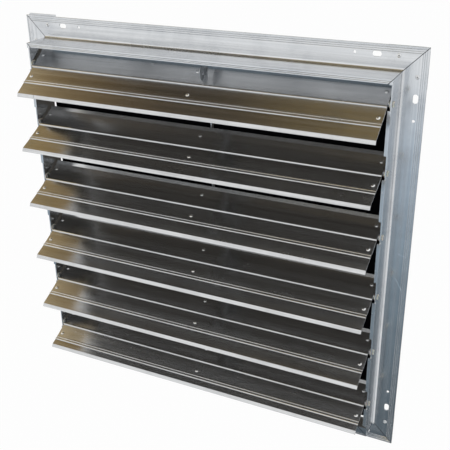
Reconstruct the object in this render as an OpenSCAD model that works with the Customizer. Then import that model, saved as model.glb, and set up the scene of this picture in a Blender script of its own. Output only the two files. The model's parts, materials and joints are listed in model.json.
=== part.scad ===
// Intake shutter: mitred frame with a wall flange, linked blades, tie bar.
// Millimetres. +X viewer's right, +Z up, -Y out of the wall towards the viewer.
// Origin: centre of the flange's rear plane.

/* [Frame] */

// Outer size of the square wall flange
flange_size = 700; // [690:1:740]
// Width of the flange, from its outer edge to the box
flange_width = 36; // [32:0.5:44]
// Thickness of the extruded flange and webs
wall = 2; // [1.6:0.1:2.2]
// Depth of the box, from the rear plane to the front edge
box_depth = 54; // [53:0.5:60]
// Step back of the bottom member's front, behind the box's front edge
sill_step = 10; // [9.5:0.5:14]
// Height of the upstand on the bottom member
upstand = 16; // [14:0.5:17]
// Height of the ears that close the bottom corners, at the box's full depth
ear_rise = 28; // [24:1:34]
// Height of the top member's front lip
top_lip = 7; // [5:0.5:7]
// Width of the side members' front lip, wall included
side_lip = 5; // [3:0.5:5]
// Thickness of the front lips
lip_wall = 1.6; // [1.2:0.1:2]
// Radius of the fillet between flange and web
fillet_radius = 4; // [2:0.5:5]
// Depth of the notch in the side lips at each blade
notch_depth = 2.6; // [2:0.1:3]
// Height of the notch above the pivot
notch_above = 29; // [20:1:29]
// Height of the notch below the pivot
notch_below = 8; // [7:0.5:12]

/* [Flange details] */

// Distance of every flange hole from the outer edge
hole_inset = 14.5; // [13.5:0.5:16]
// Distance of the corner rivets from the end of a flange leg
rivet_at = 43; // [38:1:46]
// Distance of the slots from the end of a flange leg
slot_at = 75; // [72:1:90]
// Distance of the screw holes from the end of a flange leg
screw_at = 108; // [100:1:130]
// Length of the mounting slots
slot_length = 14; // [12:0.5:16]
// Width of the mounting slots
slot_width = 8; // [6:0.5:8]
// Radius of the screw holes
screw_radius = 2.25; // [2:0.05:2.75]
// Distance of the first fine groove from the outer edge
groove_at = 3.4; // [3:0.1:4]
// Spacing of the fine grooves
groove_pitch = 2.9; // [2:0.1:2.9]
// Depth of the fine grooves
groove_depth = 0.6; // [0.3:0.1:0.8]
// Width of the fine grooves
groove_width = 1.1; // [0.8:0.1:1.4]
// Height of the bead along the outer edge
rim_height = 0.6; // [0.3:0.1:1]
// Width of the bead along the outer edge
rim_width = 1.6; // [1:0.1:2]
// Thickness of the corner gussets
gusset_wall = 1.5; // [1:0.1:2.5]
// Length of the gusset legs from the corner
gusset_leg = 60; // [55:1:62]
// Width of the gusset legs
gusset_width = 32; // [28:1:33]
// Chamfer of the gussets' outer corner
gusset_chamfer = 6; // [3:0.5:8]
// Rise of the top left gusset above the flange's edge
gusset_rise = 3; // [0:0.5:4]

/* [Blades] */

// Number of blades
blade_count = 6; // [6]
// Distance of the pivots behind the box's front edge
pivot_inset = 9; // [8:0.1:9.5]
// Height of the first pivot below the top web's inner face
first_drop = 35; // [34.5:0.1:36]
// Height of the last pivot above the bottom web's inner face
last_rise = 69; // [68:0.1:70]
// Slope of the blades at rest, outer edge down
rest_slope = 28.5; // [24:0.5:40]
// Extra slope of the top blade at rest, from the lost motion in its link
top_droop = 8.2; // [0:0.1:9]
// Thickness of the blade sheet
sheet = 0.8; // [0.6:0.1:0.8]
// Gap between a blade's end and the side web
end_gap = 4; // [4:0.1:5]
// Height of the sheet's top face over the pivot axis
sheet_rise = 2; // [1.9:0.1:2.4]
// Blade's reach behind the pivot
inner_reach = 37; // [36:0.5:37.5]
// Reach behind the pivot of the top blade
inner_reach_top = 32; // [30:0.5:32.5]
// Gap along closed blades, from the bottom bend to the next blade's inner edge
lap_gap = 1; // [0.5:0.1:3]
// Gap along the closed bottom blade, from its bottom bend to the sill's web
sill_gap = 14.5; // [13:0.5:16]
// Run of the top lip along the blade
lip_run = 5.5; // [4:0.5:6]
// Rise of the top lip
lip_rise = 2.6; // [1.5:0.1:2.8]
// Run of the bottom lip along the blade
drip_run = 5; // [4:0.5:5.5]
// Drop of the bottom lip
drip_drop = 3.7; // [3:0.1:4]
// Rise of the outer plane towards the bottom bend
outer_rise = 1; // [0:0.1:1.2]
// Distance of the pivot rib in front of the pivot
rib_at = 7; // [6:0.5:8]
// Height of the pivot rib
rib_height = 2; // [1:0.1:2.2]
// Width of the pivot rib
rib_width = 5; // [4:0.5:6]
// Distance of the small second rib in front of the pivot
rib2_at = 36.8; // [36:0.2:38]
// Distance of the large second rib in front of the pivot
rib3_at = 41.4; // [41:0.2:43]
// Height of the small second rib
rib2_height = 0.7; // [0.4:0.1:1]
// Height of the large second rib
rib3_height = 1.3; // [0.8:0.1:1.6]
// Width of the small second rib
rib2_width = 3; // [2:0.2:3.6]
// Width of the large second rib
rib3_width = 4; // [3:0.2:4.4]
// Place of the nick in the top blade's bottom lip, from the centre
nick_x = -275; // [-290:1:-250]
// Width of the nick
nick_width = 0.9; // [0.5:0.1:1.5]

/* [Brackets and pins] */

// Distance of the rivets from the blade's ends
rivet_inset = 7.5; // [7.5:0.1:8]
// Distance of the upper rivets behind the pivot
rivet_upper = 19; // [17:0.5:20]
// Distance of the lower rivets in front of the pivot
rivet_lower = 27.5; // [26:0.5:28.5]
// Radius of the rivet heads
rivet_head = 3.2; // [2.8:0.1:3.4]
// Height of the rivet heads
rivet_dome = 1.4; // [1:0.1:1.8]
// Radius of the rivet shanks
rivet_shank = 1.6; // [1.2:0.1:1.8]
// Thickness of the brackets
plate = 1.2; // [1:0.1:1.2]
// Thickness of the bracket ears
ear_wall = 1.5; // [1.2:0.1:1.5]
// Width of the end brackets' base
end_base = 14; // [12:0.5:20]
// Overhang of the bracket base past the rivets
base_over = 5; // [4:0.5:5.5]
// Gap between a blade's end and its bracket ear
ear_gap = 0.3; // [0.3:0.05:0.4]
// Radius of the end ears about the pivot
ear_radius = 4.5; // [4:0.1:5]
// Radius of the pivot pins
pin_radius = 2.5; // [2:0.1:2.6]
// Running clearance of pins in their bores
run_fit = 0.06; // [0.03:0.01:0.1]
// Outer radius of the pivot bushings
bush_radius = 4.2; // [4:0.1:4.6]
// Radius of the bushing flange
bush_flange = 6.2; // [5.5:0.1:6.4]
// Thickness of the bushing flange
bush_wall = 1.4; // [1.2:0.1:1.5]
// Height of the bushing outside the web
bush_proud = 1.8; // [1:0.1:2.5]
// Half width of the drive brackets
drive_half = 8; // [7:0.5:8]
// Distance of the top bracket's upright lug beside the tie bar
lug_beside = 0.8; // [0.5:0.1:1.6]
// Distance of the lug behind the pivot
lug_near = 3; // [2:0.1:4]
// Height of the lug over the pivot axis
lug_height = 19; // [15:0.5:20]
// Length of the lug along the blade
lug_length = 26; // [22:0.5:26]
// Radius of the lug's top
lug_round = 8; // [7:0.1:8]
// Gap between the lug and its slot in the blade
lug_gap = 0.3; // [0.3:0.05:0.5]

/* [Tie bar] */

// Radius from the pivots to the link pins
link_radius = 41.5; // [41:0.1:41.5]
// Angle of the link arm below the horizontal at rest
link_angle = 15; // [14:0.5:17]
// Radius of the link pins
link_pin = 1.75; // [1.5:0.05:2]
// Radius of the link pins' heads
link_head = 3.2; // [2.8:0.1:3.6]
// Thickness of the link pins' heads
link_head_wall = 1.2; // [0.8:0.1:1.5]
// Width of the tie bar
bar_width = 7; // [6:0.5:7]
// Thickness of the tie bar
bar_wall = 2; // [1.5:0.1:2.5]
// Side gap between tie bar, ears and heads
side_gap = 0.4; // [0.3:0.05:0.6]
// Length of the tie bar past its end pins
bar_end = 5; // [4:0.5:5.5]
// Radius of the drive ears about the link pins
drive_ear = 5; // [4.4:0.1:5.4]

/* [Hidden] */

half = flange_size / 2;
web_out = half - flange_width;
web_in = web_out - wall;
blade_half = web_in - end_gap;
rivet_x = blade_half - rivet_inset;
row_at = half - hole_inset;
sill_depth = box_depth - sill_step;
pivot_depth = box_depth - pivot_inset;
pitch = (2 * web_in - first_drop - last_rise) / (blade_count - 1);
outer_reach = pitch - inner_reach - lap_gap;
outer_reach_bottom = last_rise - sill_gap;
fine = 0.01;
over = 1;
arc_steps = 6;
slot_steps = 12;
span = 2 * half + 2 * over;

// Sheet faces in the blade's own frame, pivot axis at its origin
sheet_top = sheet_rise;
sheet_low = sheet_rise - sheet;
base_low = sheet_low - plate;
base_in = rivet_upper + base_over;
base_out = rivet_lower + base_over;
ear_x = blade_half + ear_gap;
ear_end = ear_x + ear_wall;
tab_half = 0.8 * ear_radius;

// Opening stop and closing travel of the lower blades
open_travel = 7;
close_travel = 57.5;
// Spare angle at both ends of the top bracket's slot
slot_spare = 0.5;
// Share of their travel that the top blade makes
top_share = (close_travel - top_droop) / close_travel;

// Link pin in the row frame, from its pivot
link_row_y = link_radius * cos(link_angle);
link_row_z = -link_radius * sin(link_angle);
drive_ear_x = drive_half - ear_wall;
bar_x = drive_half + side_gap;
bar_far = bar_x + bar_wall;
lug_x = bar_far + lug_beside;

aluminium = [0.80, 0.81, 0.83];
blade_metal = [0.76, 0.77, 0.79];
bracket_metal = [0.66, 0.67, 0.70];
steel = [0.60, 0.61, 0.63];
nylon = [0.86, 0.85, 0.80];

$fn = 48;

function pivot_z(i) = web_in - first_drop - (i - 1) * pitch;

function slope(i) = rest_slope + (i == 1 ? top_droop : 0);

// Point on the link circle in a blade's own frame, turned on by a degrees
function link_point(i, a, radius) =
  radius * [cos(a - link_angle - slope(i)), sin(a - link_angle - slope(i))];

// Offset of one polyline corner by t along its mitre
function corner_shift(p, q, r, t) =
  let (a = (q - p) / norm(q - p), b = (r - q) / norm(r - q),
       m = [-(a[1] + b[1]), a[0] + b[0]], k = norm(m) * norm(m))
  q + m * (2 * t / k);

// Closed outline of a bent sheet: the line, then its offset by t walked back
function bent_sheet(line, t) =
  let (n = len(line) - 1,
       first = 2 * line[0] - line[1],
       last = 2 * line[n] - line[n - 1])
  concat(line, [for (j = [n:-1:0])
    corner_shift(j == 0 ? first : line[j - 1], line[j], j == n ? last : line[j + 1], t)]);

// Points over one rounded rib, walked towards the outer edge
function rib(at, width, height, base) =
  [for (j = [0:arc_steps]) let (a = 180 * j / arc_steps)
    [-at + width / 2 * cos(a), base + height * sin(a)]];

// Points of the concave fillet between flange and web
function fillet_points() =
  [for (j = [0:arc_steps]) let (a = 90 + 90 * j / arc_steps)
    [web_out + fillet_radius + fillet_radius * cos(a), -wall - fillet_radius + fillet_radius * sin(a)]];

// Front of the flange: rim, three fine grooves
function flange_front() = concat(
  [[half, 0], [half, -wall - rim_height], [half - rim_width, -wall - rim_height], [half - rim_width, -wall]],
  [for (j = [0:2], s = [1, 0, -1])
    [half - groove_at - j * groove_pitch + s * groove_width / 2, -wall + (s == 0 ? groove_depth : 0)]]);

// Members' sections as [outward, Y]
function top_section() = concat(flange_front(), fillet_points(), [
  [web_out, -box_depth],
  [web_out - 0.3 * top_lip, -box_depth], [web_out - 0.38 * top_lip, -box_depth + 0.5],
  [web_out - 0.46 * top_lip, -box_depth], [web_out - 0.62 * top_lip, -box_depth],
  [web_out - 0.7 * top_lip, -box_depth + 0.5], [web_out - 0.78 * top_lip, -box_depth],
  [web_out - top_lip, -box_depth], [web_out - top_lip, -box_depth + lip_wall],
  [web_in, -box_depth + lip_wall], [web_in, 0]]);

function side_section() = concat(flange_front(), fillet_points(), [
  [web_out, -box_depth], [web_out - side_lip, -box_depth],
  [web_out - side_lip, -box_depth + lip_wall], [web_in, -box_depth + lip_wall], [web_in, 0]]);

function sill_section() = concat(flange_front(), fillet_points(), [
  [web_out, -sill_depth - 1], [web_in, -sill_depth - 1], [web_in, -sill_depth],
  [web_out - upstand, -sill_depth], [web_out - upstand, -sill_depth + wall],
  [web_in, -sill_depth + wall], [web_in, 0]]);

// Extrude a section along X, its outward side up
module bar_of(section) {
  translate([-half, 0, 0]) rotate([90, 0, 90])
    linear_extrude(height = 2 * half) polygon([for (p = section) [p[1], p[0]]]);
}

// Prism that leaves the 45 degree mitres
module mitre_prism() {
  translate([0, span / 2, 0]) rotate([90, 0, 0])
    linear_extrude(height = span) polygon([[0, 0], [half + over, half + over], [-half - over, half + over]]);
}

// Holes of one flange leg
module leg_holes() {
  for (s = [-1, 1]) {
    translate([s * (half - rivet_at), over, row_at]) rotate([90, 0, 0])
      cylinder(r = rivet_shank, h = wall + rim_height + 2 * over);
    translate([s * (half - screw_at), over, row_at]) rotate([90, 0, 0])
      cylinder(r = screw_radius, h = wall + rim_height + 2 * over);
    translate([s * (half - slot_at), over, row_at]) rotate([90, 0, 0])
      linear_extrude(height = wall + rim_height + 2 * over) slot_outline();
  }
}

module slot_outline() {
  square([slot_length - slot_width, slot_width], center = true);
  for (s = [-1, 1]) translate([s * (slot_length - slot_width) / 2, 0]) circle(d = slot_width);
}

// Wedge under the line on which the side webs end; clear of the flange
module ear_wedge(inner, outer, reach) {
  translate([inner, 0, 0]) rotate([90, 0, 90]) linear_extrude(height = outer - inner)
    polygon([[0, -web_out], [-reach, -web_out + reach * ear_rise / box_depth], [-reach, -web_out]]);
}

module side_member() {
  difference() {
    intersection() {
      rotate([0, 90, 0]) bar_of(side_section());
      rotate([0, 90, 0]) mitre_prism();
    }
    rotate([0, 90, 0]) leg_holes();
    ear_wedge(web_out - side_lip - over, web_out, box_depth + over);
    for (i = [1:blade_count]) {
      translate([web_in - over, -pivot_depth, pivot_z(i)]) rotate([0, 90, 0])
        cylinder(r = bush_radius, h = wall + 2 * over);
      translate([web_out - side_lip - over, -box_depth - over, pivot_z(i) - notch_below])
        cube([side_lip + 2 * over, notch_depth + over, notch_above + notch_below]);
    }
  }
}

module frame_top() {
  color(aluminium) difference() {
    intersection() {
      bar_of(top_section());
      mitre_prism();
    }
    leg_holes();
  }
}

module frame_bottom() {
  color(aluminium) union() {
    rotate([0, 180, 0]) difference() {
      intersection() {
        bar_of(sill_section());
        union() {
          mitre_prism();
          translate([-web_out, -sill_depth - over - fine, web_out - upstand - over])
            cube([2 * web_out, wall + over + fine, upstand + over]);
        }
      }
      leg_holes();
    }
    for (s = [0, 1]) mirror([s, 0, 0]) ear_wedge(web_in, web_out, sill_depth);
  }
}

module frame_right() {
  color(aluminium) side_member();
}

module frame_left() {
  color(aluminium) mirror([1, 0, 0]) side_member();
}

// L plate behind the top right corner, moved up by rise
module gusset(rise) {
  near = half - gusset_width;
  far = half - gusset_leg;
  color(bracket_metal) difference() {
    translate([0, gusset_wall, rise]) rotate([90, 0, 0]) linear_extrude(height = gusset_wall)
      polygon([[half, half - gusset_chamfer], [half - gusset_chamfer, half], [far, half], [far, near],
               [near, near], [near, far], [half, far]]);
    for (p = [[half - rivet_at, row_at], [row_at, half - rivet_at]])
      translate([p[0], gusset_wall + over, p[1]]) rotate([90, 0, 0])
        cylinder(r = rivet_shank, h = gusset_wall + 2 * over);
  }
}

module corner_gusset_tr() { gusset(0); }
module corner_gusset_tl() { mirror([1, 0, 0]) gusset(gusset_rise); }
module corner_gusset_br() { mirror([0, 0, 1]) gusset(0); }
module corner_gusset_bl() { mirror([0, 0, 1]) mirror([1, 0, 0]) gusset(0); }

// Tubular rivet along Y through the flange and a gusset
module tube_rivet() {
  bore = 0.9;
  roll = rivet_shank + 0.7;
  rotate([90, 0, 0]) rotate_extrude() polygon([
    [bore, -gusset_wall - 0.8], [roll, -gusset_wall - 0.8], [roll, -gusset_wall], [rivet_shank, -gusset_wall],
    [rivet_shank, wall], [rivet_head, wall], [rivet_head - 0.2, wall + 0.5], [rivet_shank, wall + 1],
    [bore, wall + 0.7]]);
}

module corner_rivets() {
  color(steel) for (sx = [-1, 1], sz = [-1, 1], p = [[half - rivet_at, row_at], [row_at, half - rivet_at]])
    translate([sx * p[0], 0, sz * p[1]]) tube_rivet();
}

// Bushing whose axis is X, flange towards the blade
module bushing() {
  bore = pin_radius + run_fit;
  far = wall + bush_proud;
  rotate([0, 90, 0]) rotate_extrude() polygon([
    [bore, -bush_wall], [bush_flange, -bush_wall], [bush_flange, 0], [bush_radius, 0],
    [bush_radius, far - 0.5], [bush_radius - 0.5, far], [bore, far]]);
}

module bushings_right() {
  color(nylon) for (i = [1:blade_count])
    translate([web_in, -pivot_depth, pivot_z(i)]) bushing();
}

module bushings_left() {
  color(nylon) for (i = [1:blade_count])
    translate([-web_in, -pivot_depth, pivot_z(i)]) mirror([1, 0, 0]) bushing();
}

// Place children in a blade's own frame, at rest
module at_blade(i) {
  translate([0, -pivot_depth, pivot_z(i)]) rotate([slope(i), 0, 0]) children();
}

// Sheet's top face from the inner edge to the bottom lip
function blade_line(reach_in, reach_out) = concat(
  [[reach_in, sheet_top + lip_rise], [reach_in - lip_run, sheet_top]],
  rib(rib_at, rib_width, rib_height, sheet_top),
  rib(rib2_at, rib2_width, rib2_height, sheet_top),
  rib(rib3_at, rib3_width, rib3_height, sheet_top),
  [[-reach_out, sheet_top + outer_rise],
   [-reach_out - drip_run, sheet_top + outer_rise - drip_drop]]);

module rivet_places() {
  for (x = [-rivet_x, 0, rivet_x], y = [rivet_upper, -rivet_lower]) translate([x, y, 0]) children();
}

module blade_sheet(reach_in, reach_out) {
  difference() {
    translate([-blade_half, 0, 0]) rotate([90, 0, 90]) linear_extrude(height = 2 * blade_half)
      polygon(bent_sheet(blade_line(reach_in, reach_out), sheet));
    rivet_places() translate([0, 0, sheet_low - over]) cylinder(r = rivet_shank, h = sheet + 2 * over);
  }
}

module blade(i) {
  color(blade_metal) at_blade(i) blade_sheet(inner_reach, outer_reach);
}

module blade_1() {
  color(blade_metal) at_blade(1) difference() {
    blade_sheet(inner_reach_top, outer_reach);
    translate([nick_x, -outer_reach - drip_run - over, sheet_top - drip_drop - over])
      cube([nick_width, drip_run + over, drip_drop + outer_rise + over]);
    translate([lug_x - lug_gap, lug_near - lug_gap, sheet_low - over])
      cube([plate + 2 * lug_gap, lug_length + 2 * lug_gap, sheet + 2 * over]);
  }
}

module blade_2() { blade(2); }
module blade_3() { blade(3); }
module blade_4() { blade(4); }
module blade_5() { blade(5); }

module blade_6() {
  color(blade_metal) at_blade(6) blade_sheet(inner_reach, outer_reach_bottom);
}

// Blind rivet along the blade's normal: dome on top, bulb below
module blind_rivet() {
  bulb = rivet_shank + 0.7;
  rotate_extrude() polygon([
    [0, base_low - 2], [bulb - 0.6, base_low - 2], [bulb, base_low - 1.2], [bulb, base_low], [rivet_shank, base_low],
    [rivet_shank, sheet_top], [rivet_head, sheet_top],
    [0.93 * rivet_head, sheet_top + 0.35 * rivet_dome], [0.78 * rivet_head, sheet_top + 0.65 * rivet_dome],
    [0.55 * rivet_head, sheet_top + 0.87 * rivet_dome], [0.3 * rivet_head, sheet_top + 0.98 * rivet_dome],
    [0, sheet_top + rivet_dome]]);
}

module rivets(i) {
  color(steel) at_blade(i) rivet_places() blind_rivet();
}

module blade_1_rivets() { rivets(1); }
module blade_2_rivets() { rivets(2); }
module blade_3_rivets() { rivets(3); }
module blade_4_rivets() { rivets(4); }
module blade_5_rivets() { rivets(5); }
module blade_6_rivets() { rivets(6); }

// End bracket on the right: base under the sheet, ear beside the blade's end
module end_bracket(i) {
  near = blade_half - end_base;
  difference() {
    union() {
      translate([near, -base_out, base_low]) cube([end_base, base_out + base_in, plate]);
      translate([near, -tab_half, base_low]) cube([ear_end - near, 2 * tab_half, plate]);
      translate([ear_x, 0, 0]) rotate([0, 90, 0]) cylinder(r = ear_radius, h = ear_wall);
    }
    translate([ear_x - over, 0, 0]) rotate([0, 90, 0]) cylinder(r = pin_radius, h = ear_wall + 2 * over);
    for (y = [rivet_upper, -rivet_lower]) translate([rivet_x, y, base_low - over])
      cylinder(r = rivet_shank, h = plate + 2 * over);
  }
}

module end_bracket_right(i) {
  color(bracket_metal) at_blade(i) end_bracket(i);
}

module end_bracket_left(i) {
  color(bracket_metal) mirror([1, 0, 0]) at_blade(i) end_bracket(i);
}

module end_bracket_left_1() { end_bracket_left(1); }
module end_bracket_left_2() { end_bracket_left(2); }
module end_bracket_left_3() { end_bracket_left(3); }
module end_bracket_left_4() { end_bracket_left(4); }
module end_bracket_left_5() { end_bracket_left(5); }
module end_bracket_left_6() { end_bracket_left(6); }
module end_bracket_right_1() { end_bracket_right(1); }
module end_bracket_right_2() { end_bracket_right(2); }
module end_bracket_right_3() { end_bracket_right(3); }
module end_bracket_right_4() { end_bracket_right(4); }
module end_bracket_right_5() { end_bracket_right(5); }
module end_bracket_right_6() { end_bracket_right(6); }

// Two stub pins, one at each end of a blade
module pivot_pins(i) {
  color(steel) for (s = [0, 1]) mirror([s, 0, 0])
    translate([ear_x, -pivot_depth, pivot_z(i)]) rotate([0, 90, 0])
      cylinder(r = pin_radius, h = web_out + bush_proud - ear_x);
}

module pivot_pins_1() { pivot_pins(1); }
module pivot_pins_2() { pivot_pins(2); }
module pivot_pins_3() { pivot_pins(3); }
module pivot_pins_4() { pivot_pins(4); }
module pivot_pins_5() { pivot_pins(5); }
module pivot_pins_6() { pivot_pins(6); }

// Drive ear's outline with its round end about the link circle from a to b degrees
module drive_ear_outline(i, a, b) {
  rim = 0.9 * drive_ear;
  polygon(concat(
    [[-rib_at, base_low + plate / 2]],
    [for (j = [0:slot_steps]) link_point(i, a + (b - a) * j / slot_steps, link_radius + rim)],
    [link_point(i, b, link_radius - rim), [base_in, base_low + plate / 2]]));
  for (t = [a, b]) translate(link_point(i, t, link_radius)) circle(r = drive_ear);
}

// Curved slot about the pivot, from a to b degrees on the link circle
module link_slot(i, a, b) {
  gap = link_pin + run_fit;
  polygon(concat(
    [for (j = [0:slot_steps]) link_point(i, a + (b - a) * j / slot_steps, link_radius + gap)],
    [for (j = [slot_steps:-1:0]) link_point(i, a + (b - a) * j / slot_steps, link_radius - gap)]));
  for (t = [a, b]) translate(link_point(i, t, link_radius)) circle(r = gap);
}

module drive_base(far) {
  difference() {
    translate([-drive_half, -base_out, base_low]) cube([drive_half + far, base_out + base_in, plate]);
    for (y = [rivet_upper, -rivet_lower]) translate([0, y, base_low - over])
      cylinder(r = rivet_shank, h = plate + 2 * over);
  }
}

// Drive bracket: base under the sheet, ear down to the link pin
module drive_bracket(i) {
  color(bracket_metal) at_blade(i) union() {
    drive_base(drive_half);
    translate([drive_ear_x, 0, 0]) rotate([90, 0, 90]) linear_extrude(height = ear_wall) difference() {
      drive_ear_outline(i, 0, 0);
      translate(link_point(i, 0, link_radius)) circle(r = link_pin);
    }
  }
}

// Top bracket: slotted ear, and a lug that stands up through the blade
module drive_bracket_1() {
  early = -(1 - top_share) * open_travel - slot_spare;
  late = (1 - top_share) * close_travel + slot_spare;
  lug_top = lug_near + 1.25 * lug_round;
  color(bracket_metal) at_blade(1) union() {
    drive_base(lug_x + plate);
    translate([drive_ear_x, 0, 0]) rotate([90, 0, 90]) linear_extrude(height = ear_wall) difference() {
      drive_ear_outline(1, early, late);
      link_slot(1, early, late);
    }
    translate([lug_x, 0, 0]) rotate([90, 0, 90]) linear_extrude(height = plate) {
      polygon([[lug_near, base_low], [lug_near + lug_length, base_low], [lug_near + lug_length, 0.25 * lug_height],
               [lug_top + 0.5 * lug_round, lug_height - 0.2 * lug_round],
               [lug_top - 0.9 * lug_round, lug_height - 0.6 * lug_round], [lug_near, 0.25 * lug_height]]);
      translate([lug_top, lug_height - lug_round]) circle(r = lug_round);
    }
  }
}

module drive_bracket_2() { drive_bracket(2); }
module drive_bracket_3() { drive_bracket(3); }
module drive_bracket_4() { drive_bracket(4); }
module drive_bracket_5() { drive_bracket(5); }
module drive_bracket_6() { drive_bracket(6); }

// Headed pin through a drive ear and the tie bar; the first is fixed in the bar
module link_pin_at(i) {
  ear_side = drive_ear_x - (i == 1 ? side_gap : 0);
  bar_side = bar_far + (i == 1 ? 0 : side_gap);
  near = ear_side - link_head_wall;
  far = bar_side + link_head_wall;
  color(steel) translate([0, -pivot_depth + link_row_y, pivot_z(i) + link_row_z])
    rotate([0, 90, 0]) rotate_extrude() polygon([
      [0, near], [link_head - 0.4, near], [link_head, near + 0.4], [link_head, ear_side], [link_pin, ear_side],
      [link_pin, bar_side], [link_head, bar_side], [link_head, far - 0.4], [link_head - 0.4, far], [0, far]]);
}

module link_pin_1() { link_pin_at(1); }
module link_pin_2() { link_pin_at(2); }
module link_pin_3() { link_pin_at(3); }
module link_pin_4() { link_pin_at(4); }
module link_pin_5() { link_pin_at(5); }
module link_pin_6() { link_pin_at(6); }

module tie_bar() {
  top = pivot_z(1) + link_row_z;
  low = pivot_z(blade_count) + link_row_z;
  color(bracket_metal) difference() {
    translate([bar_x, -pivot_depth + link_row_y - bar_width / 2, low - bar_end])
      cube([bar_wall, bar_width, top - low + 2 * bar_end]);
    for (i = [1:blade_count]) translate([bar_x - over, -pivot_depth + link_row_y, pivot_z(i) + link_row_z])
      rotate([0, 90, 0]) cylinder(r = link_pin + (i == 1 ? 0 : run_fit), h = bar_wall + 2 * over);
  }
}

frame_top();
frame_bottom();
frame_left();
frame_right();
corner_gusset_tl();
corner_gusset_tr();
corner_gusset_bl();
corner_gusset_br();
corner_rivets();
bushings_left();
bushings_right();
tie_bar();
blade_1();
blade_2();
blade_3();
blade_4();
blade_5();
blade_6();
blade_1_rivets();
blade_2_rivets();
blade_3_rivets();
blade_4_rivets();
blade_5_rivets();
blade_6_rivets();
end_bracket_left_1();
end_bracket_left_2();
end_bracket_left_3();
end_bracket_left_4();
end_bracket_left_5();
end_bracket_left_6();
end_bracket_right_1();
end_bracket_right_2();
end_bracket_right_3();
end_bracket_right_4();
end_bracket_right_5();
end_bracket_right_6();
pivot_pins_1();
pivot_pins_2();
pivot_pins_3();
pivot_pins_4();
pivot_pins_5();
pivot_pins_6();
drive_bracket_1();
drive_bracket_2();
drive_bracket_3();
drive_bracket_4();
drive_bracket_5();
drive_bracket_6();
link_pin_1();
link_pin_2();
link_pin_3();
link_pin_4();
link_pin_5();
link_pin_6();
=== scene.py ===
"""Intake shutter: looks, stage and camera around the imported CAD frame.

The CAD nodes keep their shapes. Each sub-assembly below gives its nodes the finish of the real piece,
and the stage rebuilds the light that the photograph shows on the bare metal.
"""

import json
import logging
import math
from dataclasses import dataclass, field
from enum import Enum

import bmesh
import bpy
from mathutils import Euler, Matrix, Vector

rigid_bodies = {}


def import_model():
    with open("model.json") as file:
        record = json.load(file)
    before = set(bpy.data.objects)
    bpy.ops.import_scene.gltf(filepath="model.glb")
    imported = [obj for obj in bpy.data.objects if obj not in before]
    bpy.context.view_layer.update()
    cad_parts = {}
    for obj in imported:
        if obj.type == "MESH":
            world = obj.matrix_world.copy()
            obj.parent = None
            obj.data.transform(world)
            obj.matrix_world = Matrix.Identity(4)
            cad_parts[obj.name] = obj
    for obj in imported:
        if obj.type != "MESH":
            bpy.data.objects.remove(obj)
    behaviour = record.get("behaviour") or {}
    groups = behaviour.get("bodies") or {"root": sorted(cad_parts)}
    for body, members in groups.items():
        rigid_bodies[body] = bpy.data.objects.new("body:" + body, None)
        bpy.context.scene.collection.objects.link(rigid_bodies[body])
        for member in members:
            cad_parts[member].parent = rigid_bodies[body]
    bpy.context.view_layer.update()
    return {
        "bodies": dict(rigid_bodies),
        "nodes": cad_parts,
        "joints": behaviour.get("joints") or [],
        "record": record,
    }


LOG = logging.getLogger("intake_shutter")
MM = 0.001


class Grain(Enum):
    """Direction in which a piece was rolled or drawn."""

    ALONG_X = (1, 0, 0)
    ALONG_Z = (0, 0, 1)


def srgb(code: str) -> tuple[float, float, float, float]:
    """Turn an sRGB hex colour to linear RGBA.

    Args:
        code: colour as "#rrggbb".

    Returns:
        Linear red, green, blue and an alpha of 1.
    """
    parts = [int(code[i:i + 2], 16) / 255 for i in (1, 3, 5)]
    line = [c / 12.92 if c <= 0.04045 else ((c + 0.055) / 1.055) ** 2.4 for c in parts]
    return (line[0], line[1], line[2], 1.0)


def add(tree: bpy.types.NodeTree, kind: str, inputs: dict | None = None,
        stops: list[tuple[float, str]] | None = None, **settings) -> bpy.types.Node:
    """Add one node with its settings, values and links.

    Args:
        tree: node tree that gets the node.
        kind: Blender's type name of the node.
        inputs: value or output socket for each input, by name or number.
        stops: colour stops, for a node that has a ramp.
        settings: properties of the node.

    Returns:
        The new node.
    """
    node = tree.nodes.new(kind)
    for name, value in settings.items():
        setattr(node, name, value)
    for key, value in (inputs or {}).items():
        if isinstance(value, bpy.types.NodeSocket):
            tree.links.new(value, node.inputs[key])
        else:
            node.inputs[key].default_value = value
    if stops:
        marks = node.color_ramp.elements
        while len(marks) < len(stops):
            marks.new(1.0)
        for mark, (place, code) in zip(marks, stops):
            mark.position = place
            mark.color = srgb(code)
    return node


def math_of(tree: bpy.types.NodeTree, operation: str, *values, clamp: bool = False) -> bpy.types.NodeSocket:
    """Value of one arithmetic step on sockets or numbers."""
    return add(tree, "ShaderNodeMath", dict(enumerate(values)), operation=operation, use_clamp=clamp).outputs[0]


def grain_noise(tree: bpy.types.NodeTree, grain: Grain, across: float, along: float,
                detail: float = 3.0) -> bpy.types.NodeSocket:
    """Noise drawn out into streaks along a piece's grain.

    Args:
        tree: node tree that gets the nodes.
        grain: direction of the streaks.
        across: width of a streak in millimetres.
        along: length of a streak in millimetres.
        detail: octaves of finer noise.

    Returns:
        Socket with the noise, about 0 to 1.
    """
    place = add(tree, "ShaderNodeTexCoord").outputs["Object"]
    scale = [1 / ((along if axis else across) * MM) for axis in grain.value]
    drawn = add(tree, "ShaderNodeMapping", {"Vector": place, "Scale": scale})
    return add(tree, "ShaderNodeTexNoise", {"Vector": drawn.outputs[0], "Scale": 1.0, "Detail": detail,
                                            "Roughness": 0.55}).outputs["Fac"]


def spread(tree: bpy.types.NodeTree, value: bpy.types.NodeSocket, low: float, high: float,
           start: float = 0.3, end: float = 0.7) -> bpy.types.NodeSocket:
    """Map start..end of a noise to low..high, clamped."""
    return add(tree, "ShaderNodeMapRange", {"Value": value, "From Min": start, "From Max": end,
                                            "To Min": low, "To Max": high}).outputs[0]


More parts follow.
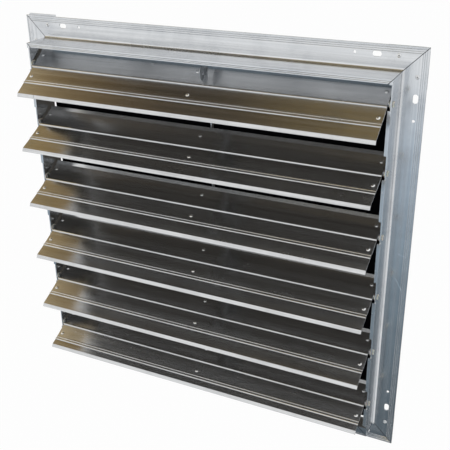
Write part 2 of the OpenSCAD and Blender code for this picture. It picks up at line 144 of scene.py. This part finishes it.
def tinted(tree: bpy.types.NodeTree, amount: bpy.types.NodeSocket, first: object,
           second: object) -> bpy.types.NodeSocket:
    """Blend from the first colour to the second by amount."""
    first, second = (srgb(c) if isinstance(c, str) else c for c in (first, second))
    return add(tree, "ShaderNodeMix", {0: amount, 6: first, 7: second}, data_type="RGBA").outputs[2]


@dataclass(frozen=True)
class Mark:
    """A scratch or speck at a real place on one face, in millimetres of the row frame."""

    start: tuple[float, float]
    end: tuple[float, float]
    width: float

    def amount(self, tree: bpy.types.NodeTree) -> bpy.types.NodeSocket:
        """Socket that is 1 on the mark and 0 away from it, seen along Y."""
        place = add(tree, "ShaderNodeSeparateXYZ", {0: add(tree, "ShaderNodeTexCoord").outputs["Object"]})
        run = Vector(self.end) - Vector(self.start)
        turn = math.atan2(run.y, run.x)
        x = math_of(tree, "SUBTRACT", place.outputs["X"], self.start[0] * MM)
        z = math_of(tree, "SUBTRACT", place.outputs["Z"], self.start[1] * MM)
        along = math_of(tree, "ADD", math_of(tree, "MULTIPLY", x, math.cos(turn)),
                        math_of(tree, "MULTIPLY", z, math.sin(turn)))
        across = math_of(tree, "SUBTRACT", math_of(tree, "MULTIPLY", z, math.cos(turn)),
                         math_of(tree, "MULTIPLY", x, math.sin(turn)))
        beyond = math_of(tree, "SUBTRACT", math_of(tree, "ABSOLUTE", math_of(
            tree, "SUBTRACT", along, run.length * MM / 2)), run.length * MM / 2)
        off = math_of(tree, "MAXIMUM", math_of(tree, "ABSOLUTE", across), beyond)
        return add(tree, "ShaderNodeMapRange", {"Value": off, "From Min": 0.2 * self.width * MM,
                                                "From Max": 0.5 * self.width * MM,
                                                "To Min": 1.0, "To Max": 0.0}).outputs[0]


@dataclass(frozen=True)
class MillAluminium:
    """Bare aluminium as it leaves the mill: bright, with drawing or rolling lines along its length.

    The lines blur reflections across the length only, so a lamp or a dark room shows as long soft
    streaks. Handling leaves duller, slightly darker clouds.
    """

    name: str
    grain: Grain
    metal: str = "#dfe1e3"
    dulled: str = "#b9bcc0"
    smooth: float = 0.13
    rough: float = 0.27
    line_width: float = 3.0
    line_depth: float = 0.004
    wave_length: float = 110.0
    wave_depth: float = 0.02
    rounding: float = 0.35
    seam: bool = False
    marks: tuple[Mark, ...] = ()

    def build(self) -> bpy.types.Material:
        """Make the material.

        Returns:
            The finished material.
        """
        material = bpy.data.materials.new(self.name)
        material.use_nodes = True
        tree = material.node_tree
        shader = tree.nodes["Principled BSDF"]
        lines = grain_noise(tree, self.grain, self.line_width, 260.0, 5.0)
        bands = grain_noise(tree, self.grain, 4 * self.line_width, 900.0, 2.0)
        clouds = add(tree, "ShaderNodeTexNoise", {"Vector": add(tree, "ShaderNodeTexCoord").outputs["Object"],
                                                  "Scale": 14.0, "Detail": 6.0, "Roughness": 0.62}).outputs["Fac"]
        dull = math_of(tree, "ADD", spread(tree, lines, 0.0, 0.45, 0.35, 0.75),
                       spread(tree, clouds, 0.0, 0.5, 0.45, 0.75), clamp=True)
        colour = tinted(tree, dull, self.metal, self.dulled)
        if self.seam:
            colour = tinted(tree, self.seam_line(tree), colour, "#3a3b3d")
        for mark in self.marks:
            colour = tinted(tree, mark.amount(tree), colour, "#f4f5f6")
        tree.links.new(colour, shader.inputs["Base Color"])
        shader.inputs["Metallic"].default_value = 1.0
        rough = math_of(tree, "ADD", spread(tree, bands, self.smooth, self.rough, 0.3, 0.7),
                        spread(tree, clouds, 0.0, 0.07, 0.5, 0.8))
        tree.links.new(rough, shader.inputs["Roughness"])
        tree.links.new(self.surface(tree, lines), shader.inputs["Normal"])
        return material

    def surface(self, tree: bpy.types.NodeTree, lines: bpy.types.NodeSocket) -> bpy.types.NodeSocket:
        """Rounded edges, the sheet's slight waves, and its fine lines, as a normal.

        Args:
            tree: node tree that gets the nodes.
            lines: the streak noise.

        Returns:
            Normal socket.
        """
        edges = add(tree, "ShaderNodeBevel", {"Radius": self.rounding * MM}, samples=4).outputs[0]
        place = add(tree, "ShaderNodeTexCoord").outputs["Object"]
        wave = add(tree, "ShaderNodeTexNoise", {"Vector": place, "Scale": 1000 / self.wave_length,
                                                "Detail": 1.0}).outputs["Fac"]
        waved = add(tree, "ShaderNodeBump", {"Height": wave, "Normal": edges, "Strength": 1.0,
                                             "Distance": self.wave_depth * MM}).outputs[0]
        return add(tree, "ShaderNodeBump", {"Height": lines, "Normal": waved, "Strength": 1.0,
                                            "Distance": self.line_depth * MM}).outputs[0]

    def seam_line(self, tree: bpy.types.NodeTree) -> bpy.types.NodeSocket:
        """Socket that is 1 on the saw cut of the 45 degree mitres."""
        place = add(tree, "ShaderNodeSeparateXYZ", {0: add(tree, "ShaderNodeTexCoord").outputs["Object"]})
        off = math_of(tree, "ABSOLUTE", math_of(tree, "SUBTRACT", math_of(tree, "ABSOLUTE", place.outputs["X"]),
                                                math_of(tree, "ABSOLUTE", place.outputs["Z"])))
        return add(tree, "ShaderNodeMapRange", {"Value": off, "From Min": 0.4 * MM, "From Max": 0.9 * MM,
                                                "To Min": 1.0, "To Max": 0.0}).outputs[0]


@dataclass(frozen=True)
class ZincPlatedSteel:
    """Pressed steel with a zinc coat: greyer and softer than the aluminium, in faint crystal patches."""

    name: str
    metal: str = "#b4b7ba"
    patch: str = "#94989c"
    patch_size: float = 6.0
    roughness: float = 0.34

    def build(self) -> bpy.types.Material:
        """Make the material.

        Returns:
            The finished material.
        """
        material = bpy.data.materials.new(self.name)
        material.use_nodes = True
        tree = material.node_tree
        shader = tree.nodes["Principled BSDF"]
        place = add(tree, "ShaderNodeTexCoord").outputs["Object"]
        crystals = add(tree, "ShaderNodeTexVoronoi", {"Vector": place, "Scale": 1000 / self.patch_size})
        shade = add(tree, "ShaderNodeSeparateXYZ", {0: crystals.outputs["Color"]}).outputs["X"]
        tree.links.new(tinted(tree, shade, self.metal, self.patch), shader.inputs["Base Color"])
        shader.inputs["Metallic"].default_value = 1.0
        tree.links.new(spread(tree, shade, self.roughness - 0.06, self.roughness + 0.08, 0.0, 1.0),
                       shader.inputs["Roughness"])
        edges = add(tree, "ShaderNodeBevel", {"Radius": 0.3 * MM}, samples=4).outputs[0]
        grit = add(tree, "ShaderNodeTexNoise", {"Vector": place, "Scale": 900.0, "Detail": 2.0}).outputs["Fac"]
        tree.links.new(add(tree, "ShaderNodeBump", {"Height": grit, "Normal": edges, "Strength": 1.0,
                                                    "Distance": 0.02 * MM}).outputs[0], shader.inputs["Normal"])
        return material


@dataclass(frozen=True)
class HeadedMetal:
    """Cold-headed rivet or turned pin: a bright crown, darkened by painted shade where it meets the sheet."""

    name: str
    metal: str
    # Colour of the painted shade round the head.
    grime: str
    roughness: float
    reach: float = 2.5

    def build(self) -> bpy.types.Material:
        """Make the material.

        Returns:
            The finished material.
        """
        material = bpy.data.materials.new(self.name)
        material.use_nodes = True
        tree = material.node_tree
        shader = tree.nodes["Principled BSDF"]
        place = add(tree, "ShaderNodeTexCoord").outputs["Object"]
        near = add(tree, "ShaderNodeAmbientOcclusion", {"Distance": self.reach * MM}, samples=4).outputs["AO"]
        # Painted shade: ambient occlusion darkens the base colour towards the shade colour where the head meets the
        # sheet.
        crevice_shade_amount = spread(tree, near, 0.9, 0.0, 0.35, 0.85)
        tree.links.new(tinted(tree, crevice_shade_amount, self.metal, self.grime), shader.inputs["Base Color"])
        shader.inputs["Metallic"].default_value = 1.0
        pits = add(tree, "ShaderNodeTexNoise", {"Vector": place, "Scale": 1400.0, "Detail": 3.0}).outputs["Fac"]
        tree.links.new(spread(tree, pits, self.roughness, self.roughness + 0.15, 0.4, 0.75),
                       shader.inputs["Roughness"])
        edges = add(tree, "ShaderNodeBevel", {"Radius": 0.5 * MM}, samples=4).outputs[0]
        tree.links.new(add(tree, "ShaderNodeBump", {"Height": pits, "Normal": edges, "Strength": 1.0,
                                                    "Distance": 0.012 * MM}).outputs[0], shader.inputs["Normal"])
        return material


@dataclass(frozen=True)
class MouldedNylon:
    """Injection-moulded natural nylon: cream, waxy, blotched with metal dust round the pin, and greyed by painted shade
    near the parts that hem it in.
    """

    name: str
    resin: str = "#d8d5c8"
    # Colour of the dust blotches and of the painted shade.
    dust: str = "#6f6e69"

    def build(self) -> bpy.types.Material:
        """Make the material.

        Returns:
            The finished material.
        """
        material = bpy.data.materials.new(self.name)
        material.use_nodes = True
        tree = material.node_tree
        shader = tree.nodes["Principled BSDF"]
        place = add(tree, "ShaderNodeTexCoord").outputs["Object"]
        blotch = add(tree, "ShaderNodeTexNoise", {"Vector": place, "Scale": 420.0, "Detail": 4.0}).outputs["Fac"]
        near = add(tree, "ShaderNodeAmbientOcclusion", {"Distance": 3 * MM}, samples=4).outputs["AO"]
        # Partly painted shade: ambient occlusion greys the resin near neighbouring parts; the noise blotches add real
        # dust.
        dust_and_shade_amount = math_of(tree, "ADD", spread(tree, near, 0.8, 0.0, 0.3, 0.9), spread(tree, blotch, 0.0, 0.25), clamp=True)
        tree.links.new(tinted(tree, dust_and_shade_amount, self.resin, self.dust), shader.inputs["Base Color"])
        tree.links.new(spread(tree, blotch, 0.34, 0.55), shader.inputs["Roughness"])
        shader.inputs["IOR"].default_value = 1.53
        shader.inputs["Subsurface Weight"].default_value = 0.15
        shader.inputs["Subsurface Scale"].default_value = 1.0 * MM
        tree.links.new(add(tree, "ShaderNodeBump", {"Height": blotch, "Strength": 1.0,
                                                    "Distance": 0.03 * MM}).outputs[0], shader.inputs["Normal"])
        return material


def dress(frame: dict, names: list[str], material: bpy.types.Material) -> None:
    """Give CAD nodes a finish in every material slot.

    Args:
        names: nodes to dress.
        material: finish they get.
    """
    for name in names:
        mesh = frame["nodes"][name].data
        if not mesh.materials:
            mesh.materials.append(material)
        for i in range(len(mesh.materials)):
            mesh.materials[i] = material
    LOG.info("%s: %d node(s), %s to %s", material.name, len(names), names[0], names[-1])


@dataclass
class MountingFrame:
    """Mitred frame of extruded members, its corner plates, rivets and pivot bushings."""

    scratches: tuple[Mark, ...] = (
        Mark((331.5, 24.0), (343.5, 20.0), 1.2),
        Mark((330.0, -20.0), (341.0, -38.0), 1.2),
        Mark((333.0, -24.0), (342.0, -43.0), 0.9),
    )

    def dress_members(self, frame: dict) -> None:
        """Die lines run along each member, so the level and the upright ones differ."""
        level = MillAluminium("extruded_aluminium_level", Grain.ALONG_X, seam=True)
        upright = MillAluminium("extruded_aluminium_upright", Grain.ALONG_Z, seam=True, marks=self.scratches)
        dress(frame, ["frame_top", "frame_bottom"], level.build())
        dress(frame, ["frame_left", "frame_right"], upright.build())

    def dress_corners(self, frame: dict) -> None:
        """Corner plates of sheared aluminium and their tubular rivets."""
        plate = MillAluminium("sheared_aluminium_plate", Grain.ALONG_X, smooth=0.22, rough=0.36)
        # The third colour is the painted shade round the rivet heads.
        rivet = HeadedMetal("tubular_rivet_aluminium", "#e4e5e6", "#3c3d3f", 0.24)
        dress(frame, [f"corner_gusset_{c}" for c in ("tl", "tr", "bl", "br")], plate.build())
        dress(frame, ["corner_rivets"], rivet.build())

    def dress_bushings(self, frame: dict) -> None:
        """Pivot bushings in both side webs."""
        dress(frame, ["bushings_left", "bushings_right"], MouldedNylon("moulded_nylon_bushing").build())


@dataclass
class BladeRow:
    """Roll-formed blades with their rivets, end brackets and pivot pins."""

    count: int = 6
    sheet: MillAluminium = MillAluminium(
        "roll_formed_aluminium", Grain.ALONG_X, metal="#d9dadb", dulled="#b3b4b6", smooth=0.15, rough=0.25,
        line_width=2.2, line_depth=0.001, wave_length=85.0, wave_depth=0.03, rounding=0.3)

    def names(self, pattern: str) -> list[str]:
        """Node names of one kind, one for each blade."""
        return [pattern.format(i) for i in range(1, self.count + 1)]

    def dress_sheets(self, frame: dict) -> None:
        """Blades: rolled coil, brighter than the frame, with slight waves from the forming rolls."""
        dress(frame, self.names("blade_{}"), self.sheet.build())

    def dress_hardware(self, frame: dict) -> None:
        """Rivets, end brackets and pivot pins."""
        # The third colour is the painted shade round the rivet heads.
        dress(frame, self.names("blade_{}_rivets"),
              HeadedMetal("domed_rivet_aluminium", "#e6e7e8", "#2e2e2f", 0.16).build())
        bracket = ZincPlatedSteel("zinc_plated_bracket").build()
        dress(frame, self.names("end_bracket_left_{}") + self.names("end_bracket_right_{}"), bracket)
        # The third colour of the pin is the painted shade round its heads.
        dress(frame, self.names("pivot_pins_{}"), HeadedMetal("turned_steel_pin", "#a8abae", "#333436", 0.22).build())


@dataclass
class Linkage:
    """Drive brackets, link pins and the tie bar that move the blades together."""

    count: int = 6

    def dress_parts(self, frame: dict) -> None:
        """Zinc-plated pressings and turned pins."""
        pressing = ZincPlatedSteel("zinc_plated_linkage", metal="#c2c5c8", patch="#a4a8ac", roughness=0.3).build()
        dress(frame, [f"drive_bracket_{i}" for i in range(1, self.count + 1)], pressing)
        dress(frame, ["tie_bar"], ZincPlatedSteel("zinc_plated_bar", patch_size=9.0).build())
        # The third colour of the link pins is the painted shade round their heads.
        dress(frame, [f"link_pin_{i}" for i in range(1, self.count + 1)],
              HeadedMetal("headed_steel_link_pin", "#a8abae", "#333436", 0.25).build())


@dataclass
class Card:
    """A coloured card of the studio, seen only in reflections, that faces the shutter.

    Azimuth 0 is in front of the shutter and 90 at its right side, in degrees. Colours run from the
    card's left edge to its right, as the shutter sees it, or from its bottom to its top.
    """

    name: str
    azimuth: float
    elevation: float
    width: float
    height: float
    colours: list[tuple[float, str]]
    upward: bool = False
    distance: float = 4.0
    strength: float = 1.0

    def build(self) -> bpy.types.Object:
        """Make the card and link it to the scene.

        Returns:
            The card.
        """
        turn, rise = math.radians(self.azimuth), math.radians(self.elevation)
        aim = Vector((math.sin(turn) * math.cos(rise), -math.cos(turn) * math.cos(rise), math.sin(rise)))
        side = Vector((math.cos(turn), math.sin(turn), 0))
        up = side.cross(aim) * -1
        mesh = bmesh.new()
        steps = 8
        rows = [[mesh.verts.new(aim * self.distance + side * (self.width * (u / steps - 0.5))
                                + up * (self.height * (v / steps - 0.5))) for u in range(steps + 1)]
                for v in range(steps + 1)]
        layer = mesh.loops.layers.uv.new("card")
        for v in range(steps):
            for u in range(steps):
                face = mesh.faces.new((rows[v][u], rows[v][u + 1], rows[v + 1][u + 1], rows[v + 1][u]))
                for loop, (a, b) in zip(face.loops, ((u, v), (u + 1, v), (u + 1, v + 1), (u, v + 1))):
                    loop[layer].uv = (a / steps, b / steps)
        data = bpy.data.meshes.new(self.name)
        mesh.to_mesh(data)
        mesh.free()
        card = bpy.data.objects.new(self.name, data)
        bpy.context.scene.collection.objects.link(card)
        data.materials.append(self.material())
        card.visible_camera = card.visible_diffuse = card.visible_shadow = False
        return card

    def material(self) -> bpy.types.Material:
        """Self-lit card whose edges fade out, so that it leaves no hard line on the metal."""
        material = bpy.data.materials.new(self.name)
        material.use_nodes = True
        tree = material.node_tree
        tree.nodes.clear()
        place = add(tree, "ShaderNodeSeparateXYZ", {0: add(tree, "ShaderNodeTexCoord").outputs["UV"]})
        run = place.outputs["Y" if self.upward else "X"]
        tone = add(tree, "ShaderNodeValToRGB", {0: run}, stops=self.colours).outputs["Color"]
        glow = add(tree, "ShaderNodeEmission", {"Color": tone, "Strength": self.strength}).outputs[0]
        fades = []
        for axis in ("X", "Y"):
            edge = math_of(tree, "ABSOLUTE", math_of(tree, "SUBTRACT", place.outputs[axis], 0.5))
            fades.append(spread(tree, edge, 1.0, 0.0, 0.36, 0.5))
        shown = math_of(tree, "MULTIPLY", *fades)
        clear = add(tree, "ShaderNodeBsdfTransparent").outputs[0]
        mixed = add(tree, "ShaderNodeMixShader", {0: shown, 1: clear, 2: glow}).outputs[0]
        add(tree, "ShaderNodeOutputMaterial", {"Surface": mixed})
        return material


@dataclass
class Studio:
    """Floor, world, dark backing, cards, lamps and the photograph's camera."""

    floor_height: float = -4.0
    floor_size: float = 60.0
    backing_size: float = 0.6236
    backing_at: float = 0.004
    camera_place: tuple[float, float, float] = (0.55926, -1.08827, 0.59008)
    camera_turn: tuple[float, float, float] = (64.6175, 0.8189, 25.6464)
    lens: float = 61.686
    cards: list[Card] = field(default_factory=lambda: [
        Card("card_under_front", -14, -33, 7.0, 3.4, [(0.0, "#4a5259"), (0.3, "#59636a"), (0.6, "#8a9ba7"),
                                                      (0.85, "#c2d0dd"), (1.0, "#e0e8f0")], upward=True),
        Card("card_overhead", -104, 62, 6.5, 6.0, [(0.28, "#b39c6e"), (0.4, "#7d6847"), (0.5, "#423c35"),
                                                   (0.58, "#433d35"), (0.7, "#80704f"), (1.0, "#8a7a58")],
             upward=True),
        Card("card_warm_side", -84, 34, 3.6, 3.0, [(0.0, "#dcc08a"), (1.0, "#fff0cf")]),
        Card("card_warm_high", -14, 50, 1.8, 1.4, [(0.0, "#c9b78f"), (1.0, "#f6e2b4")]),
        Card("card_rear", -154, 14, 5.0, 2.4, [(0.0, "#a8b0b4"), (0.5, "#a9ada6"), (1.0, "#a08f76")]),
        Card("card_rear_low", 165, -26, 3.5, 3.0, [(0.0, "#3f4346"), (0.5, "#6b6b6b"), (1.0, "#9aa0a8")],
             upward=True),
    ])

    def build_floor(self) -> None:
        """Pale paper floor, white to the camera and in reflections, that keeps the shadow."""
        half = self.floor_size / 2
        floor = self.sheet_piece("paper_floor", [(-half, -half, self.floor_height), (half, -half, self.floor_height),
                                                 (half, half, self.floor_height), (-half, half, self.floor_height)])
        material = bpy.data.materials.new("pale_paper")
        material.use_nodes = True
        tree = material.node_tree
        tree.nodes.clear()
        path = add(tree, "ShaderNodeLightPath")
        seen = math_of(tree, "ADD", path.outputs["Is Camera Ray"], math_of(
            tree, "ADD", path.outputs["Is Glossy Ray"], path.outputs["Is Transmission Ray"]), clamp=True)
        paper = add(tree, "ShaderNodeBsdfDiffuse", {"Color": srgb("#f2f2f0")}).outputs[0]
        white = add(tree, "ShaderNodeEmission", {"Color": srgb("#ffffff"), "Strength": 1.0}).outputs[0]
        mixed = add(tree, "ShaderNodeMixShader", {0: math_of(tree, "MULTIPLY", seen, 0.96), 1: paper, 2: white})
        add(tree, "ShaderNodeOutputMaterial", {"Surface": mixed.outputs[0]})
        floor.data.materials.append(material)

    def build_backing(self) -> None:
        """Painted shade behind the opening: a dark sheet, black in the gaps, that glows dark grey as a painted
        reflection in the blades; clear from behind.
        """
        half, y = self.backing_size / 2, self.backing_at
        backing = self.sheet_piece("dark_behind_opening", [(-half, y, -half), (half, y, -half), (half, y, half),
                                                           (-half, y, half)])
        material = bpy.data.materials.new("painted_shade_behind_opening")
        material.use_nodes = True
        tree = material.node_tree
        tree.nodes.clear()
        # Painted shade: a near-black sheet stands in for the darkness seen through the gaps.
        dark = add(tree, "ShaderNodeBsdfDiffuse", {"Color": srgb("#0b0b0d")}).outputs[0]
        clear = add(tree, "ShaderNodeBsdfTransparent").outputs[0]
        # Painted reflection: for glossy rays the sheet glows dark grey, so the blades show it.
        dim = add(tree, "ShaderNodeEmission", {"Color": srgb("#45423e"), "Strength": 1.0}).outputs[0]
        glossy = add(tree, "ShaderNodeLightPath").outputs["Is Glossy Ray"]
        # room carries the painted shade for camera rays and the painted reflection for glossy rays.
        room = add(tree, "ShaderNodeMixShader", {0: glossy, 1: dark, 2: dim}).outputs[0]
        back = add(tree, "ShaderNodeNewGeometry").outputs["Backfacing"]
        mixed = add(tree, "ShaderNodeMixShader", {0: back, 1: room, 2: clear}).outputs[0]
        add(tree, "ShaderNodeOutputMaterial", {"Surface": mixed})
        backing.data.materials.append(material)

    @staticmethod
    def sheet_piece(name: str, corners: list[tuple[float, float, float]]) -> bpy.types.Object:
        """Make one flat stage sheet.

        Args:
            name: name of the piece.
            corners: its corners in metres.

        Returns:
            The sheet.
        """
        data = bpy.data.meshes.new(name)
        data.from_pydata(corners, [], [tuple(range(len(corners)))])
        piece = bpy.data.objects.new(name, data)
        bpy.context.scene.collection.objects.link(piece)
        return piece

    def build_world(self) -> None:
        """White background for the camera and for metal, plain soft light for the rest."""
        world = bpy.data.worlds.new("white_studio")
        bpy.context.scene.world = world
        world.use_nodes = True
        tree = world.node_tree
        tree.nodes.clear()
        path = add(tree, "ShaderNodeLightPath")
        seen = math_of(tree, "ADD", path.outputs["Is Camera Ray"], math_of(
            tree, "ADD", path.outputs["Is Glossy Ray"], path.outputs["Is Transmission Ray"]), clamp=True)
        soft = add(tree, "ShaderNodeBackground", {"Color": srgb("#f1f3f5"), "Strength": 0.75}).outputs[0]
        white = add(tree, "ShaderNodeBackground", {"Color": srgb("#ffffff"), "Strength": 1.0}).outputs[0]
        mixed = add(tree, "ShaderNodeMixShader", {0: seen, 1: soft, 2: white}).outputs[0]
        add(tree, "ShaderNodeOutputWorld", {"Surface": mixed})

    def build_lamps(self) -> None:
        """Two large soft lamps at a plain level."""
        for name, place, size, power in (("soft_key", (-1.6, -2.4, 2.2), 1.6, 28.0),
                                         ("soft_fill", (2.2, -2.0, 1.0), 1.6, 12.0)):
            data = bpy.data.lights.new(name, "AREA")
            data.shape, data.size, data.energy = "SQUARE", size, power
            lamp = bpy.data.objects.new(name, data)
            lamp.location = place
            lamp.rotation_euler = (-Vector(place)).to_track_quat("-Z", "Y").to_euler()
            lamp.visible_glossy = False
            bpy.context.scene.collection.objects.link(lamp)

    def build_camera(self) -> None:
        """Camera where the photograph was taken, from the fit of the frame's corners."""
        data = bpy.data.cameras.new("photo_camera")
        data.sensor_width, data.lens = 36.0, self.lens
        data.clip_start, data.clip_end = 0.01, 200.0
        camera = bpy.data.objects.new("photo_camera", data)
        turn = Euler([math.radians(a) for a in self.camera_turn], "XYZ")
        camera.matrix_world = Matrix.Translation(self.camera_place) @ turn.to_matrix().to_4x4()
        bpy.context.scene.collection.objects.link(camera)
        bpy.context.scene.camera = camera

    def build(self) -> None:
        """Build the whole stage."""
        self.build_floor()
        self.build_backing()
        self.build_world()
        self.build_lamps()
        self.build_camera()
        for card in self.cards:
            card.build()
        bpy.context.scene.view_settings.view_transform = "Standard"
        LOG.info("studio: floor, backing, %d cards, 2 lamps, camera", len(self.cards))


def main() -> None:
    """Load the frame, dress each sub-assembly and build the stage."""
    logging.basicConfig(level=logging.INFO, format="%(name)s %(message)s")
    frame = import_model()
    shutter_frame = MountingFrame()
    shutter_frame.dress_members(frame)
    shutter_frame.dress_corners(frame)
    shutter_frame.dress_bushings(frame)
    blades = BladeRow()
    blades.dress_sheets(frame)
    blades.dress_hardware(frame)
    Linkage().dress_parts(frame)
    Studio().build()


if __name__ == "__main__":
    main()
